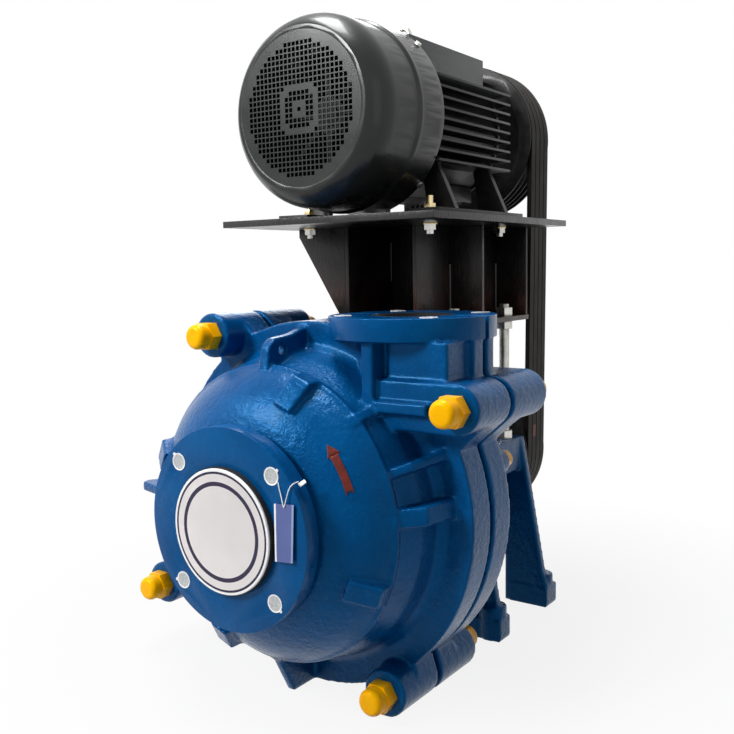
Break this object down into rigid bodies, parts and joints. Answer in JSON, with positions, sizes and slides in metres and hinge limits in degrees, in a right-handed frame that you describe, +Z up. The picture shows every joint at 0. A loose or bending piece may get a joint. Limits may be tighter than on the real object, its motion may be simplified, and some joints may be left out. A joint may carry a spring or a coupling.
{
  "type": "slurry pump",
  "caption": "Belt-driven centrifugal slurry pump with split lined casing and its electric motor mounted above on an adjustable stool.",
  "frame": {"origin": "on the floor at the centre of the four foot bolt holes, below the pump shaft", "axes": "+Z up, the pump shaft along Y with the suction facing -Y and the pulleys at +Y, +X to the discharge side"},
  "size_m": [0.679, 0.812, 1.1085],
  "materials": {
    "blue_casting": "glossy enamel over rough sand casting",
    "liner_iron": "as cast hard iron",
    "black_rubber": "moulded",
    "white_disc": "plain white film-faced disc",
    "yellow_cap": "moulded polyethylene",
    "zinc_steel": "zinc plated",
    "turned_steel": "turned",
    "packing_yarn": "braided",
    "bronze": "turned",
    "black_plate": "black paint on flame-cut plate",
    "motor_paint": "dark grey-green metallic enamel",
    "motor_plastic": "moulded",
    "core_steel": "stacked sheet",
    "pulley_iron": "dark phosphate",
    "yellow_zinc": "yellow passivated"
  },
  "bodies": {
    "root": {"cover_plate": "blue_casting", "frame_plate": "blue_casting", "volute_liner": "liner_iron", "throatbush": "liner_iron", "frame_plate_liner": "liner_iron", "suction_seal": "black_rubber", "discharge_seal": "black_rubber", "cover_studs": "zinc_steel", "cover_nuts": "zinc_steel", "thread_caps": "yellow_cap", "frame_studs": "zinc_steel", "stuffing_box": "blue_casting", "packing_rings": "packing_yarn", "lantern_ring": "bronze", "gland_studs": "zinc_steel", "pump_frame": "blue_casting", "bearing_housing": "blue_casting", "bearing_cups": "turned_steel", "bearing_end_covers": "blue_casting", "end_cover_screws": "zinc_steel", "clamp_bolts": "zinc_steel", "adjusting_rods": "zinc_steel", "rod_base_nuts": "zinc_steel", "v_belts": "black_rubber"},
    "pump_rotor": {"pump_shaft": "turned_steel", "pump_key": "turned_steel", "impeller": "liner_iron", "shaft_sleeve": "turned_steel", "shaft_deflector": "turned_steel", "bearing_cones": "turned_steel", "pump_pulley": "pulley_iron"},
    "gland_follower": {"gland": "liner_iron", "gland_nuts": "zinc_steel"},
    "inlet_cover": {"inlet_disc": "white_disc"},
    "motor_platform": {"stool_base_plate": "black_plate", "stool_side_plates": "black_plate", "stool_ribs": "black_plate", "motor_plate": "black_plate", "platform_nuts": "zinc_steel", "motor_housing": "motor_paint", "motor_fan_end_shield": "motor_paint", "motor_drive_end_shield": "motor_paint", "motor_bearing_cups": "turned_steel", "stator": "core_steel", "fan_cover": "motor_paint", "fan_grille": "motor_paint", "motor_cover_screws": "zinc_steel", "terminal_box": "motor_paint", "terminal_box_lid": "motor_paint", "cable_gland": "motor_plastic", "lifting_eye": "zinc_steel", "motor_foot_bolts": "yellow_zinc"},
    "motor_rotor": {"motor_shaft": "turned_steel", "motor_key": "turned_steel", "rotor_core": "core_steel", "motor_bearing_cones": "turned_steel", "cooling_fan": "motor_plastic", "motor_pulley": "pulley_iron"}
  },
  "joints": [
    {"name": "pump_shaft_spin", "type": "hinge", "parent": "root", "child": "pump_rotor", "pos_m": [0, -0.3575, 0.3], "axis": [0, 1, 0], "continuous": true},
    {"name": "gland_slide", "type": "slide", "parent": "root", "child": "gland_follower", "axis": [0, 1, 0], "range_m": [0, 0.008]},
    {"name": "inlet_cover_lift", "type": "slide", "parent": "root", "child": "inlet_cover", "axis": [0, -1, 0], "range_m": [0, 0.06]},
    {"name": "motor_height", "type": "slide", "parent": "root", "child": "motor_platform", "axis": [0, 0, 1], "range_m": [-0.025, 0.006], "deforming": ["v_belts"]},
    {"name": "motor_shaft_spin", "type": "hinge", "parent": "motor_platform", "child": "motor_rotor", "pos_m": [0, -0.3575, 0.925], "axis": [0, 1, 0], "continuous": true}
  ],
  "couplings": [
    {"joint": "motor_shaft_spin", "follows": "pump_shaft_spin", "ratio": 0.9597}
  ]
}
